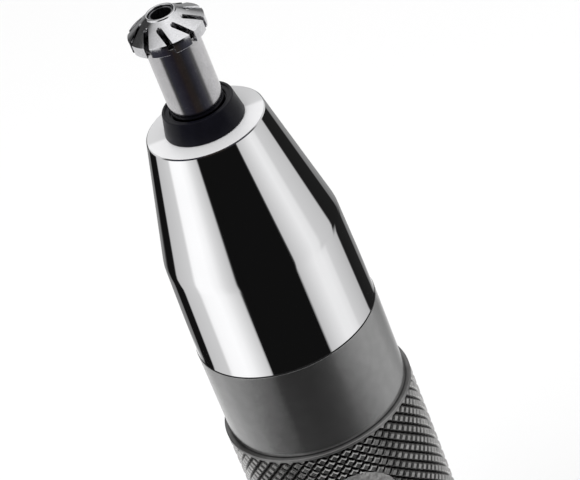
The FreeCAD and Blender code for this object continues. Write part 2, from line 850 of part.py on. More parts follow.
def head_collar():
    z_top = z_nose1 + collar_height
    z_recess = z_top - collar_recess_depth
    bore = neck_radius + press_gap
    groove_half = ring_section_radius + slip_gap
    floor_hole = neck_bore_radius - collar_floor_lip
    return turned([
        (floor_hole, z_collar0), (collar_spigot_radius, z_collar0),
        (collar_spigot_radius, z_head_ring - groove_half), (head_groove_floor, z_head_ring - groove_half),
        (head_groove_floor, z_head_ring + groove_half), (collar_spigot_radius, z_head_ring + groove_half),
        (collar_spigot_radius, z_nose1 + seat_gap), (collar_base_radius, z_nose1 + seat_gap),
        (collar_top_radius, z_top - collar_edge),
        (collar_top_radius - collar_edge, z_top), (collar_lip_radius, z_top), (collar_lip_radius, z_recess),
        (bore, z_recess), (bore, z_tube0), (floor_hole, z_tube0),
    ])


def collar_seal_ring():
    mid_radius = head_groove_floor + ring_section_radius + press_gap / 2
    return torus_ring(mid_radius, ring_section_radius, z_head_ring)


def neck_tube():
    flange_radius = guard_bore_radius - press_gap
    return turned([
        (neck_bore_radius, z_tube0), (neck_radius, z_tube0), (neck_radius, z_flange0),
        (flange_radius, z_flange0), (flange_radius, z_flange1), (neck_bore_radius, z_flange1),
    ])


def bushing(z0):
    return ring(neck_bore_radius - press_gap, cutter_shaft_radius + running_gap, z0, z0 + bushing_length)


def lower_bushing():
    return bushing(z_tube0 + press_gap)


def upper_bushing():
    return bushing(z_guard0 - bushing_length - cell_gap)


def guard_cap():
    """Slotted cone that guards the cutter; its bottom lips are crimped under the tube's flange.

    The slots are straight and swirl round the cone, each on a line that grazes the hole's circle."""
    z_lip = z_guard0 + guard_lip_thickness
    body = turned([
        (guard_lip_radius, z_guard0), (guard_radius, z_guard0), (guard_radius, z_guard_edge),
        (guard_rim_radius, z_guard_rim), (guard_rim_radius - guard_rim_edge, z_guard1 - guard_rim_edge),
        (guard_rim_radius - 2 * guard_rim_edge, z_guard1), (guard_hole_radius, z_guard1),
        (guard_hole_radius, guard_inner_height(guard_hole_radius)),
        (guard_bore_radius, guard_inner_height(guard_bore_radius)), (guard_bore_radius, z_lip),
        (guard_lip_radius, z_lip),
    ])
    side = -guard_hole_radius
    start = math.sqrt(slot_inner_radius ** 2 - side ** 2)
    slot = block(start, guard_radius + 1, side - slot_width / 2, side + slot_width / 2,
                 z_guard0 - 1, z_guard1)
    slot = slot.fuse(Part.makeCylinder(slot_width / 2, z_guard1 - z_guard0 + 1,
                                       V(start, side, z_guard0 - 1)))
    return body.cut(spun(slot, slot_count, slot_phase_deg))


# ---------------------------------------------------------------- cutter
cutter_hub_radius = guard_hole_radius - cutter_hub_gap
z_plate0 = z_flange1 + blade_gap
z_plate1 = z_plate0 + cutter_plate_thickness


def cutter_blades():
    """Cup-shaped hub with radial blades that follow the inside of the guard's cone."""
    hub_bore = cutter_hub_radius - cutter_hub_wall
    z_top = z_guard1 - blade_gap - cutter_hub_recess
    hub = turned([
        (0, z_plate0), (cutter_plate_radius, z_plate0), (cutter_plate_radius, z_plate1),
        (cutter_hub_radius, z_plate1), (cutter_hub_radius, z_top), (hub_bore, z_top),
        (hub_bore, z_plate1), (0, z_plate1),
    ])
    tip = guard_bore_radius - blade_gap
    root = hub_bore + cutter_hub_wall / 2
    half = blade_thickness / 2
    z_tip = guard_inner_height(tip) - blade_gap
    z_root = min(guard_inner_height(root) - blade_gap, z_top)
    corners = [V(root, -half, z_plate0), V(tip, -half, z_plate0), V(tip, -half, z_tip), V(root,
                                                                                          -half, z_root)]
    blade = Part.Face(Part.makePolygon(corners + corners[:1])).extrude(V(0, blade_thickness, 0))
    swept = ring(tip, root, z_plate0, z_guard1)
    blade = blade.common(swept)
    return hub.fuse(spun(blade, blade_count, blade_phase_deg)).removeSplitter()


def cutter_shaft():
    z_round = z_coupling1 + head_standoff / 2
    drive = hexagon(drive_flats, z_drive0, z_round)
    return disc(cutter_shaft_radius, z_round, z_plate0).fuse(drive).removeSplitter()


def shaft_clip():
    z1 = z_guard0 - bushing_length - cell_gap - running_gap
    clip = ring(shaft_clip_radius, cutter_shaft_radius + press_gap, z1 - shaft_clip_thickness, z1)
    mouth = block(0, shaft_clip_radius + 1, -cutter_shaft_radius / 2, cutter_shaft_radius / 2,
                  z1 - shaft_clip_thickness - 1, z1 + 1)
    return clip.cut(mouth)


PIECES = [
    end_cap, cap_seal_ring, contact_plate, negative_spring, battery_cell, cell_terminal, battery_tube,
    positive_contact, grip_sleeve, switch_knob, switch_carrier, switch_lever, switch_body, switch_pins,
    switch_frame, switch_board, ground_clip, motor_terminals, switched_lead, ground_lead, front_band,
    nose_gasket, nose_cone, head_socket, motor_can, motor_bearing, motor_end_bell, motor_magnets,
    motor_brushes, motor_shaft, armature_core, armature_windings, commutator, cradle_front, cradle_rear,
    cradle_screws, drive_coupling, coupling_spring, head_collar, collar_seal_ring, neck_tube,
    lower_bushing, upper_bushing, guard_cap, cutter_blades, cutter_shaft, shaft_clip,
]


def main():
    os.makedirs("parts", exist_ok=True)
    for piece in PIECES:
        shape = piece()
        if not shape.Solids or not shape.isValid() or not all(s.isClosed() for s in shape.Solids):
            raise ValueError(f"{piece.__name__} isn't a valid closed solid")
        shape.exportStep(f"parts/{piece.__name__}.step")
        box = shape.BoundBox
        print(f"{piece.__name__:18} solids {len(shape.Solids)} volume {shape.Volume:9.2f}"
              f" z {box.ZMin:7.2f} to {box.ZMax:7.2f}")


main()
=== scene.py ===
import json
import math

import bmesh
import bpy
from mathutils import Matrix, Vector


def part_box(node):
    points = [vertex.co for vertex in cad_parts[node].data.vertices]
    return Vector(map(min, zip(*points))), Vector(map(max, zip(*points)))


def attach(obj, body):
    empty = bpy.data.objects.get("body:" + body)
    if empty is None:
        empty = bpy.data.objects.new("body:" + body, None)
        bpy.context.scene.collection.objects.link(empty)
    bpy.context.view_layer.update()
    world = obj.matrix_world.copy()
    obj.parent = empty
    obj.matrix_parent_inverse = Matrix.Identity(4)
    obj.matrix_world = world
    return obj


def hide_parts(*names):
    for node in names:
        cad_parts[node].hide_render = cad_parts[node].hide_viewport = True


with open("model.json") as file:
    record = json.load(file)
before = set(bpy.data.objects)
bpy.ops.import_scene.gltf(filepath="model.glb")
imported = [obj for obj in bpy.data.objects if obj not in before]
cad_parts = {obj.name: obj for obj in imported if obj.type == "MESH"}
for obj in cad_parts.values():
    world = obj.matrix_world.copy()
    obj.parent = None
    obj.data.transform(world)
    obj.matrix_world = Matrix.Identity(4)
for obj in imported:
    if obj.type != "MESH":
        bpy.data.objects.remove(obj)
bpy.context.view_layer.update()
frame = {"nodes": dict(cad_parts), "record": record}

# Pieces are modelled in millimetres in the CAD frame, +Z up the trimmer and -Y to the front, and
# finish_mesh() turns them into metres. Their places come from the CAD nodes' boxes.
MM = 0.001
CM_PER_M = 100
FULL_TURN = 2 * math.pi


# ---------------------------------------------------------------- sizes from the frame
def low(node):
    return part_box(node)[0] / MM


def high(node):
    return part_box(node)[1] / MM


def radius_of(node):
    return high(node).x


grip_radius = radius_of("grip_sleeve")
grip_z0 = low("grip_sleeve").z
grip_z1 = high("grip_sleeve").z
band_radius = radius_of("front_band")
cap_radius = radius_of("end_cap")
nose_radius = radius_of("nose_cone")
nose_z1 = high("nose_cone").z
nose_z0 = high("nose_gasket").z
collar_z1 = high("head_collar").z
guard_radius = radius_of("guard_cap")
guard_z0 = low("guard_cap").z
guard_z1 = high("guard_cap").z
neck_z0 = low("neck_tube").z
neck_z1 = high("neck_tube").z

# ---------------------------------------------------------------- sizes of visible detail
ring_segments = 192
neck_segments = 128
fillet_steps = 5
fillet_share = 0.45
on_axis = 1e-6
support_gap = 0.03
hair_gap = 0.05

# Edges sharper than these angles shade as sharp
soft_angle = 32
nose_angle = 24
knurl_angle = 20
cut_angle = 40
knob_bevel_angle = 35

# Radii of rounded edges
edge_hair = 0.03
edge_crisp = 0.04
edge_fine = 0.05
edge_lip = 0.06
edge_small = 0.08
edge_soft = 0.10
edge_full = 0.12
edge_broad = 0.15
edge_wide = 0.2
edge_large = 0.3

shoulder_round = 0.10
shoulder_land = 0.34
sleeve_bore = 9.8

knurl_starts = 48
knurl_row = 1.5
knurl_depth = 0.38
knurl_groove = 0.22
knurl_bevel = 0.05
weld = 1e-4
cut_weld = 1e-5

pad_width = 10.6
pad_length = 26.0
pad_top_below_grip = 4.4
pad_drop = 0.14
pad_edge = 0.08
pad_edge_steps = 5
pad_gap = 0.02
pad_lip = 0.12
pad_mid = grip_z1 - pad_top_below_grip - pad_length / 2
recess_width = 8.0
recess_length = 19.0
recess_plane = 10.55
slot_width = 3.4
slot_length = 6.9
stadium_arc_steps = 24
stadium_side_steps = 16

knob_edge = 0.3
knob_edge_steps = 5
knob_back_edge = 0.1
knob_grooves = 5
knob_groove_pitch = 1.35
knob_groove_depth = 0.45
knob_groove_steps = 10
knob_groove_flare = 0.05
knob_groove_start = 0.2
knob_bevel = 0.05
stem_clearance = 0.2
stem_root = 0.3
stem_reach = 2.0

band_spigot_wall = 0.75
band_spigot_length = 3.0
band_wall = 1.4
band_floor = 1.45

cap_dish = 0.35
cap_ring_inner = 7.4
cap_ring_outer = 8.1
cap_rim_inner = 8.9
cap_base_edge = 0.9
cap_line_z = 3.5
cap_line_half = 0.5
cap_line_floor_half = 0.3
cap_line_depth = 0.35
cap_seal_z0 = 0.65
cap_seal_z1 = 1.4
cap_seal_depth = 0.3
cap_wall = 1.25
cap_floor = 2.2
thread_root = 9.3
thread_crest = 9.7
thread_pitch = 1.5
thread_turns = 4
thread_start = 2.2
thread_foot_half = 0.48
thread_top_half = 0.12

nose_top_radius = 6.95
nose_edge = 0.12
nose_foot_edge = 0.04
nose_kink_height = 12.4
nose_kink_radius = 10.51
nose_blend = 0.45
nose_hole = 4.3
nose_spigot = 9.55
nose_spigot_length = 4
nose_wall = 1.2
nose_plate = 1.4
nose_rows = 48

collar_foot = 4.71
collar_top = 4.16
collar_lip = 3.34
collar_recess = 0.5
collar_rim = 0.30
collar_step = 0.16
collar_spigot = 4.2
seal_groove_depth = 0.35
seal_groove_z0 = 2.6
seal_groove_z1 = 3.4
seal_groove_slope = 0.1

neck_radius = 3.15
neck_bore = 2.65
neck_fit = 0.01
flange_fit = 0.02
flange_height = 0.25

guard_wall = 0.3
guard_band = 1.32
guard_slope = math.tan(math.radians(32.4))
guard_rim = 1.8
guard_rim_lean = 0.05
guard_support_gap = 0.02
guard_hole = 1.5
guard_lip = 3.45
guard_lip_height = 0.23
guard_slots = 10
guard_slot_width = 0.65
guard_slot_inner = 2.7
guard_slot_phase = -2.0
guard_slot_steps = 12
guard_bevel = 0.07
guard_throat = 0.55
guard_throat_step = 0.15


# ---------------------------------------------------------------- node materials
class Graph:
    """Short way to build a node tree."""

    def __init__(self, tree):
        self.tree = tree
        tree.nodes.clear()

    def node(self, kind, inputs=(), **settings):
        """New node. Each input is a constant, or the socket that feeds it."""
        made = self.tree.nodes.new("ShaderNode" + kind)
        for name, value in settings.items():
            setattr(made, name, value)
        for socket, value in dict(inputs).items():
            if isinstance(value, bpy.types.NodeSocket):
                self.tree.links.new(value, made.inputs[socket])
            else:
                made.inputs[socket].default_value = value
        return made

    def math(self, operation, *operands):
        return self.node("Math", enumerate(operands), operation=operation).outputs[0]

    def mix(self, factor, below, above, blend_type="MIX"):
        inputs = {0: factor, 6: below, 7: above}
        return self.node("Mix", inputs, data_type="RGBA", blend_type=blend_type).outputs[2]

    def times(self, colour, other):
        return self.mix(1.0, colour, other, "MULTIPLY")

    def mix_value(self, factor, below, above):
        return self.node("Mix", {0: factor, 2: below, 3: above}).outputs[0]

    def map_range(self, value, start, end, to_start=0.0, to_end=1.0):
        inputs = {"Value": value, "From Min": start, "From Max": end, "To Min": to_start, "To Max": to_end}
        return self.node("MapRange", inputs).outputs["Result"]

    def noise(self, place, scale, detail):
        return self.node("TexNoise", {"Scale": scale, "Detail": detail, "Vector": place}).outputs["Fac"]

    def ramp(self, source, stops):
        made = self.node("ValToRGB", {"Fac": source})
        ramp = made.color_ramp
        while len(ramp.elements) < len(stops):
            ramp.elements.new(0.5)
        for element, (place, shade) in zip(ramp.elements, stops):
            element.position = place
            element.color = (*shade, 1) if hasattr(shade, "__len__") else (shade, shade, shade, 1)
        return made.outputs["Color"]


def azimuth_of(g, vector):
    """Turn about Z from the front, as 0 to 1 with the front in the middle, and the vector's Z."""
    split = g.node("SeparateXYZ", {"Vector": vector})
    towards = g.math("MULTIPLY", split.outputs["Y"], -1)
    azimuth = g.math("ARCTAN2", split.outputs["X"], towards)
    return g.map_range(azimuth, -math.pi, math.pi), split.outputs["Z"]


# The nose's flat top: what counts as level, its metal share, and a painted reflection darkening its back
# half.
level_normal = 0.98
flat_metallic = 0.3
flat_top_painted_reflection = ((0.245, 0.76), (0.26, 1.0), (0.74, 1.0), (0.755, 0.76))
# The inside of the guard's hole
bore_colour = (0.85, 0.85, 0.86, 1)
bore_roughness = 0.12
# Noise, and the occlusion that paints shade into hollows, shared by all finishes
mottle_size = 12
occlusion_samples = 8
deepest_shade = 0.02
open_from = 0.88
least_roughness = 0.01


def material(name, colour, roughness, metallic=0.0, mottle=0.12, grain=60.0, grain_bump=0.0,
             rough_spread=0.05, stretch=(1, 1, 1), flat_roughness=0.0, crevice=0.0,
             crevice_black=0.45, polished_bore=0.0, speckle=0.0, **shader):
    """Principled finish with a colour mottle, uneven roughness and a fine bump, all from noise.

    grain is in features per centimetre, and a stretch under 1 lengthens them along that axis.
    speckle is the depth of fine dark dots. The crevice argument paints shade: it darkens what is shut in
    within that many millimetres. The flat roughness argument dulls a level top, and a painted reflection
    darkens its back half. polished_bore is the radius in millimetres within which the metal is bright.
    """
    made = bpy.data.materials.new(name)
    made.use_nodes = True
    g = Graph(made.node_tree)
    place = g.node("TexCoord").outputs["Object"]
    scales = [CM_PER_M * s for s in stretch]
    scaled = g.node("Mapping", {"Scale": scales, "Vector": place}).outputs["Vector"]
    fine = g.noise(scaled, grain, 3.0)
    broad = g.noise(scaled, grain / mottle_size, 4.0)
    darker = [c * (1 - mottle) for c in colour]
    lighter = [min(1, c * (1 + mottle)) for c in colour]
    tone = g.ramp(broad, [(0.3, darker), (0.7, lighter)])
    rough = g.map_range(fine, 0.3, 0.7, max(least_roughness, roughness - rough_spread),
                        roughness + rough_spread)
    if speckle:
        tone = g.times(tone, g.ramp(fine, [(0.35, 1 - speckle), (0.65, 1.0)]))
    # Painted shade: the colour darkens towards black where the surface is shut in, such as slots and
    # grooves.
    if crevice:
        inputs = {"Distance": crevice * MM}
        open_sky = g.node("AmbientOcclusion", inputs, samples=occlusion_samples).outputs["AO"]
        tone = g.times(tone, g.ramp(open_sky, [(crevice_black, deepest_shade), (open_from, 1.0)]))
    if flat_roughness:
        facing = g.node("SeparateXYZ", {"Vector": g.node("TexCoord").outputs["Normal"]}).outputs["Z"]
        flat = g.math("GREATER_THAN", facing, level_normal)
        # Painted reflection: a level top is darkened over its back half, by its turn about Z.
        turn, _ = azimuth_of(g, place)
        tone = g.mix(flat, tone, g.times(tone, g.ramp(turn, flat_top_painted_reflection)))
        rough = g.mix_value(flat, rough, flat_roughness)
        metallic = g.mix_value(flat, metallic, flat_metallic)
    if polished_bore:
        level = g.node("VectorMath", {0: place, 1: (1, 1, 0)}, operation="MULTIPLY").outputs[0]
        reach = g.node("VectorMath", {0: level}, operation="LENGTH").outputs["Value"]
        inside = g.math("LESS_THAN", reach, polished_bore * MM)
        tone = g.mix(inside, tone, bore_colour)
        rough = g.mix_value(inside, rough, bore_roughness)
    inputs = {"Base Color": tone, "Roughness": rough, "Metallic": metallic, **shader}
    if grain_bump:
        bump = g.node("Bump", {"Strength": 1.0, "Distance": grain_bump * MM, "Height": fine})
        inputs["Normal"] = bump.outputs["Normal"]
    surface = g.node("BsdfPrincipled", inputs)
    g.node("OutputMaterial", {"Surface": surface.outputs["BSDF"]})
    return made


def grey(value):
    return (value, value, value)


# Each finish: colour, roughness, metal share, and what material() adds to it. The crevice entries paint
# shade into hollows, and the nose's flat top gets a painted reflection.
finishes = {
    "nose_chrome": dict(colour=(0.90, 0.90, 0.91), roughness=0.03, metallic=1.0, mottle=0.01,
                        rough_spread=0.01, grain=20, flat_roughness=0.5),
    "band_paint": dict(colour=grey(0.40), roughness=0.20, metallic=1.0, mottle=0.04, grain=90,
                       grain_bump=0.003),
    "grip_metal": dict(colour=(0.42, 0.415, 0.41), roughness=0.22, metallic=1.0, mottle=0.2, grain=90,
                       grain_bump=0.008, crevice=0.45),
    "pad_blast": dict(colour=(0.52, 0.515, 0.51), roughness=0.5, metallic=1.0, mottle=0.35, grain=260,
                      grain_bump=0.040, crevice=0.3),
    "rim_turned": dict(colour=(0.31, 0.307, 0.305), roughness=0.45, metallic=1.0, mottle=0.15, grain=90,
                       grain_bump=0.006, crevice=0.4, crevice_black=0.2),
    "head_steel": dict(colour=(0.85, 0.85, 0.87), roughness=0.15, metallic=1.0, mottle=0.08, grain=60,
                       grain_bump=0.003, crevice=0.7, polished_bore=1.55, speckle=0.12),
    "tube_steel": dict(colour=(0.74, 0.73, 0.745), roughness=0.15, metallic=1.0, mottle=0.05, grain=110,
                       grain_bump=0.002, rough_spread=0.02, crevice=0.5, crevice_black=0.35,
                       speckle=0.28),
    "collar_plastic": {"colour": (0.004, 0.004, 0.007), "roughness": 0.34, "mottle": 0.2, "grain": 80,
                       "grain_bump": 0.003, "Specular IOR Level": 0.15},
    "seal_rubber": dict(colour=(0.015, 0.015, 0.016), roughness=0.65, mottle=0.2, grain_bump=0.006),
    "blade_steel": dict(colour=(0.20, 0.20, 0.21), roughness=0.30, metallic=1.0, mottle=0.05,
                        grain_bump=0.002, stretch=(1, 1, 0.2), crevice=0.8),
    "bushing_bronze": dict(colour=(0.55, 0.36, 0.18), roughness=0.42, metallic=1.0, grain_bump=0.006),
    "knob_plastic": dict(colour=(0.022, 0.022, 0.024), roughness=0.42, mottle=0.2, grain=80,
                         grain_bump=0.006),
    "slide_plastic": dict(colour=(0.60, 0.60, 0.58), roughness=0.45, grain_bump=0.004),
    "frame_plastic": dict(colour=(0.04, 0.04, 0.044), roughness=0.48, mottle=0.15, grain_bump=0.006),
    "board_laminate": dict(colour=(0.03, 0.16, 0.07), roughness=0.35, mottle=0.15, stretch=(1, 1, 4)),
    "switch_plastic": dict(colour=grey(0.03), roughness=0.40, grain_bump=0.004),
    "contact_brass": dict(colour=(0.76, 0.58, 0.28), roughness=0.25, metallic=1.0, grain_bump=0.002),
    "spring_steel": dict(colour=grey(0.62), roughness=0.28, metallic=1.0, grain_bump=0.002),
    "cell_wrap": dict(colour=(0.05, 0.055, 0.07), roughness=0.22, mottle=0.08, grain_bump=0.001),
    "cell_steel": dict(colour=grey(0.70), roughness=0.22, metallic=1.0, grain_bump=0.002),
    "motor_steel": dict(colour=(0.62, 0.62, 0.61), roughness=0.30, metallic=1.0, grain_bump=0.003),
    "motor_plastic": dict(colour=(0.75, 0.74, 0.70), roughness=0.45, grain_bump=0.004),
    "magnet_ferrite": dict(colour=(0.06, 0.06, 0.065), roughness=0.55, metallic=0.4, grain_bump=0.008),
    "copper": dict(colour=(0.72, 0.33, 0.17), roughness=0.30, metallic=1.0, grain_bump=0.006,
                   stretch=(1, 1, 6)),
    "brush_carbon": dict(colour=grey(0.02), roughness=0.60, grain_bump=0.006),
    "coupling_plastic": dict(colour=(0.80, 0.80, 0.78), roughness=0.42, grain_bump=0.004),
    "lead_red": dict(colour=(0.50, 0.02, 0.02), roughness=0.45, grain_bump=0.003),
    "lead_black": dict(colour=grey(0.02), roughness=0.45, grain_bump=0.003),
}
looks = {name: material(name, **finish) for name, finish in finishes.items()}


# ---------------------------------------------------------------- mesh helpers
def add_object(name, data):
    made = bpy.data.objects.new(name, data)
    bpy.context.scene.collection.objects.link(made)
    return made


def new_mesh(name, points, faces):
    data = bpy.data.meshes.new(name)
    data.from_pydata([Vector(p) for p in points], [], faces)
    return data


def face_outwards(data):
    shell = bmesh.new()
    shell.from_mesh(data)
    bmesh.ops.recalc_face_normals(shell, faces=shell.faces)
    shell.to_mesh(data)
    shell.free()


def finish_mesh(data, body, slot, replaces=(), sharp_deg=soft_angle, look=None):
    """Makes a mesh in millimetres into a piece in metres, riding on a body, in its slot's finish
    or another look."""
    face_outwards(data)
    data.transform(Matrix.Scale(MM, 4))
    data.shade_smooth()
    data.set_sharp_from_angle(angle=math.radians(sharp_deg))
    data.materials.clear()
    data.materials.append(looks[look or slot])
    piece = add_object(data.name, data)
    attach(piece, body)
    if replaces:
        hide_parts(*replaces)
    return piece


def rounded(corners, steps=fillet_steps, support=support_gap):
    """Closed (radius, height) outline. A corner is (r, z) or (r, z, fillet), and a fillet becomes an arc
    with a support point just outside each end, so that flat faces beside it shade flat."""
    outline = []
    count = len(corners)
    for i, corner in enumerate(corners):
        here = Vector(corner[:2])
        fillet = corner[2] if len(corner) > 2 else 0
        if not fillet:
            outline.append(tuple(here))
            continue
        before = Vector(corners[i - 1][:2]) - here
        after = Vector(corners[(i + 1) % count][:2]) - here
        to_before, to_after = before.normalized(), after.normalized()
        half = to_before.angle(to_after) / 2
        cut = min(fillet / math.tan(half), fillet_share * before.length, fillet_share * after.length)
        radius = cut * math.tan(half)
        centre = here + (to_before + to_after).normalized() * radius / math.sin(half)
        first = here + to_before * cut
        last = here + to_after * cut
        start = math.atan2(*(first - centre).yx)
        sweep = math.atan2(*(last - centre).yx) - start
        sweep = (sweep + math.pi) % FULL_TURN - math.pi
        beside = min(support, 0.3 * cut + 0.01)
        outline.append(tuple(first + to_before * beside))
        for k in range(steps + 1):
            a = start + sweep * k / steps
            outline.append((centre.x + radius * math.cos(a), centre.y + radius * math.sin(a)))
        outline.append(tuple(last + to_after * beside))
    return outline


def lathe(outline, segments=ring_segments):
    """Points and faces of a closed outline turned about Z. Outline points on the axis become poles."""
    points, rings, faces = [], [], []
    for r, z in outline:
        if r < on_axis:
            rings.append([len(points)] * segments)
            points.append((0, 0, z))
            continue
        rings.append(list(range(len(points), len(points) + segments)))
        for k in range(segments):
            a = FULL_TURN * k / segments
            points.append((r * math.cos(a), r * math.sin(a), z))
    for lower, upper in zip(rings, rings[1:] + rings[:1]):
        for k in range(segments):
            m = (k + 1) % segments
            corners = list(dict.fromkeys((lower[k], lower[m], upper[m], upper[k])))
            if len(corners) > 2:
                faces.append(corners)
    return points, faces


def turned_piece(name, outline, body, slot, replaces, segments=ring_segments, **finish):
    finish_mesh(new_mesh(name, *lathe(outline, segments)), body, slot, replaces, **finish)


def between_loops(a, b, count):
    """Quads between two closed loops of count points, whose first points have the numbers a and b."""
    return [(a + k, a + (k + 1) % count, b + (k + 1) % count, b + k) for k in range(count)]


def loft(loops):
    """Points and faces of a closed strip through loops of equal length. The last joins the first."""
    count = len(loops[0])
    points = [p for loop in loops for p in loop]
    faces = []
    for i in range(len(loops)):
        faces += between_loops(i * count, (i + 1) % len(loops) * count, count)
    return points, faces


def prism(outline, z0, z1):
    """Points and faces of an upright prism on a plan outline."""
    count = len(outline)
    points = [(x, y, z) for z in (z0, z1) for x, y in outline]
    faces = [tuple(range(count)), tuple(range(2 * count - 1, count - 1, -1))]
    return points, faces + between_loops(0, count, count)


def modelled(name, points, faces):
    """A working object in millimetres, for cutting and joining."""
    data = new_mesh(name, points, faces)
    face_outwards(data)
    return add_object(name, data)


def shaped(name, work, tools, **bevel):
    """Applies booleans and a bevel to a working object, and returns the resulting mesh."""
    for tool, operation in tools:
        step = work.modifiers.new(operation, "BOOLEAN")
        step.object = tool
        step.operation = operation
        step.solver = "EXACT"
    edge = work.modifiers.new("edges", "BEVEL")
    edge.limit_method = "ANGLE"
    edge.segments = 2
    edge.harden_normals = True
    for setting, value in bevel.items():
        setattr(edge, setting, value)
    graph = bpy.context.evaluated_depsgraph_get()
    data = bpy.data.meshes.new_from_object(work.evaluated_get(graph))
    for tool, _ in tools:
        bpy.data.objects.remove(tool)
    bpy.data.objects.remove(work)
    data.name = name
    return data


# ---------------------------------------------------------------- chrome nose, band, end cap
def nose_radius_at(z):
    """Two straight tapers joined by a short blend round the kink."""
    kink = nose_z0 + nose_kink_height
    lower = (nose_kink_radius - nose_radius) / nose_kink_height
    upper = (nose_top_radius - nose_kink_radius) / (nose_z1 - kink)
    x = z - kink
    if x <= -nose_blend:
        return nose_kink_radius + lower * x
    if x >= nose_blend:
        return nose_kink_radius + upper * x
    return nose_kink_radius + lower * x + (upper - lower) * (x + nose_blend) ** 2 / (4 * nose_blend)


def make_nose():
    """Polished barrel with a flat top round the head's hole, over a spigot."""
    foot = nose_z0 - nose_spigot_length
    plate_z = nose_z1 - nose_plate
    z_low = nose_z0 + 3 * nose_foot_edge
    z_high = nose_z1 - nose_edge
    side = [z_low + (z_high - z_low) * i / nose_rows for i in range(nose_rows + 1)]
    top_edge = nose_top_radius - nose_edge
    outline = [(nose_spigot - nose_wall, foot), (nose_spigot, foot), (nose_spigot, nose_z0)]
    outline += [(nose_radius - nose_foot_edge, nose_z0), (nose_radius, nose_z0 + nose_foot_edge)]
    outline += [(nose_radius_at(z), z) for z in side]
    outline += [(nose_top_radius - edge_fine, nose_z1 - 0.4 * nose_edge), (top_edge, nose_z1)]
    outline += [(top_edge - edge_hair, nose_z1), (nose_hole + edge_small, nose_z1)]
    outline += [(nose_hole, nose_z1 - edge_small), (nose_hole, plate_z)]
    outline += [(min(nose_spigot, nose_radius_at(z)) - nose_wall, z) for z in reversed(side) if z < plate_z]
    turned_piece("nose_shell", outline, "handle", "nose_chrome", ["nose_cone"], sharp_deg=nose_angle)


def make_band():
    """Painted band over a spigot in the sleeve."""
    spigot = sleeve_bore - hair_gap
    bore = spigot - band_spigot_wall
    inside = band_radius - band_wall
    bottom = grip_z1 - band_spigot_length
    foot = grip_z1 + hair_gap
    floor = grip_z1 + band_floor
    seat = low("nose_gasket").z
    outline = rounded([
        (bore, bottom), (spigot, bottom, edge_soft), (spigot, foot), (band_radius, foot, edge_fine),
        (band_radius, seat, edge_hair), (inside, seat), (inside, floor), (bore, floor),
    ])
    turned_piece("band_shell", outline, "handle", "band_paint", ["front_band"])


def make_end_cap():
    """Cap with two rings on its base, a line round it, a seal groove and a thread of plain rings."""
    z1 = grip_z0 - hair_gap
    line = cap_radius - cap_line_depth
    seal_floor = thread_root - cap_seal_depth
    corners = [
        (0, cap_dish), (cap_ring_inner, cap_dish), (cap_ring_inner, 0, edge_full),
        (cap_ring_outer, 0, edge_full), (cap_ring_outer, cap_dish), (cap_rim_inner, cap_dish),
        (cap_rim_inner, 0, edge_full), (cap_radius, 0, cap_base_edge),
        (cap_radius, cap_line_z - cap_line_half, edge_soft),
        (line, cap_line_z - cap_line_floor_half, edge_small),
        (line, cap_line_z + cap_line_floor_half, edge_small),
        (cap_radius, cap_line_z + cap_line_half, edge_soft),
        (cap_radius, z1, edge_broad), (thread_root, z1), (thread_root, z1 + cap_seal_z0),
        (seal_floor, z1 + cap_seal_z0), (seal_floor, z1 + cap_seal_z1), (thread_root, z1 + cap_seal_z1),
    ]
    for turn in range(thread_turns):
        z = grip_z0 + thread_start + turn * thread_pitch
        corners += [
            (thread_root, z - thread_foot_half, edge_fine), (thread_crest, z - thread_top_half, edge_small),
            (thread_crest, z + thread_top_half, edge_small), (thread_root, z + thread_foot_half, edge_fine),
        ]
    top = high("end_cap").z
    bore = thread_root - cap_wall
    corners += [(thread_root, top, edge_large), (bore, top, edge_wide)]
    corners += [(bore, cap_floor, edge_wide), (0, cap_floor)]
    turned_piece("cap_shell", rounded(corners, steps=4), "end_cap", "band_paint", ["end_cap"])


# ---------------------------------------------------------------- knurled grip
def on_grip(x, z, r):
    """Point on the grip: x is the arc from the front centre line at the grip's outer radius."""
    a = x / grip_radius - math.pi / 2
    return Vector((r * math.cos(a), r * math.sin(a), z))


def stadium(width, length, z_mid):
    """Closed slot-shaped outline as (x, z) points, with the same count for any size."""
    half = width / 2
    run = max(0.0, length / 2 - half)
    outline = []
    for side in (1, -1):
        for k in range(stadium_arc_steps + 1):
            a = math.pi * k / stadium_arc_steps
            outline.append((side * half * math.cos(a), z_mid + side * (run + half * math.sin(a))))
        for k in range(1, stadium_side_steps):
            outline.append((-side * half, z_mid + side * (run - 2 * run * k / stadium_side_steps)))
    return outline


def knurl_sheet(z0, z1):
    """Unrolled diamond knurl: x runs round the grip, y is the height above the groove floor, z is up."""
    sheet = bmesh.new()
    half_x = math.pi * grip_radius / knurl_starts
    half_z = knurl_row / 2
    reach = half_x * half_z / math.hypot(half_x, half_z)     # a diamond's centre to its side, squarely
    rings = ((0, 0), (knurl_groove, knurl_depth - knurl_bevel), (knurl_groove + knurl_bevel, knurl_depth))
    spots = ((half_x, 0), (0, half_z), (-half_x, 0), (0, -half_z))

    def corners(cx, cz, inset, height):
        share = 1 - inset / reach
        return [sheet.verts.new((cx + dx * share, height, cz + dz * share)) for dx, dz in spots]

    for row in range(int((z1 - z0) / half_z) + 3):
        for column in range(row % 2, 2 * knurl_starts, 2):
            x = column * half_x - math.pi * grip_radius
            outer, middle, inner = (corners(x, z1 - row * half_z, *ring) for ring in rings)
            for wide, narrow in ((outer, middle), (middle, inner)):
                for k in range(len(spots)):
                    m = (k + 1) % len(spots)
                    sheet.faces.new((wide[k], wide[m], narrow[m], narrow[k]))
            sheet.faces.new(inner)
    bmesh.ops.remove_doubles(sheet, verts=sheet.verts, dist=weld)
    for z, away in ((z0, -1), (z1, 1)):
        everything = list(sheet.verts) + list(sheet.edges) + list(sheet.faces)
        bmesh.ops.bisect_plane(sheet, geom=everything, dist=cut_weld, plane_co=(0, 0, z),
                               plane_no=(0, 0, away), clear_outer=True)
    return sheet


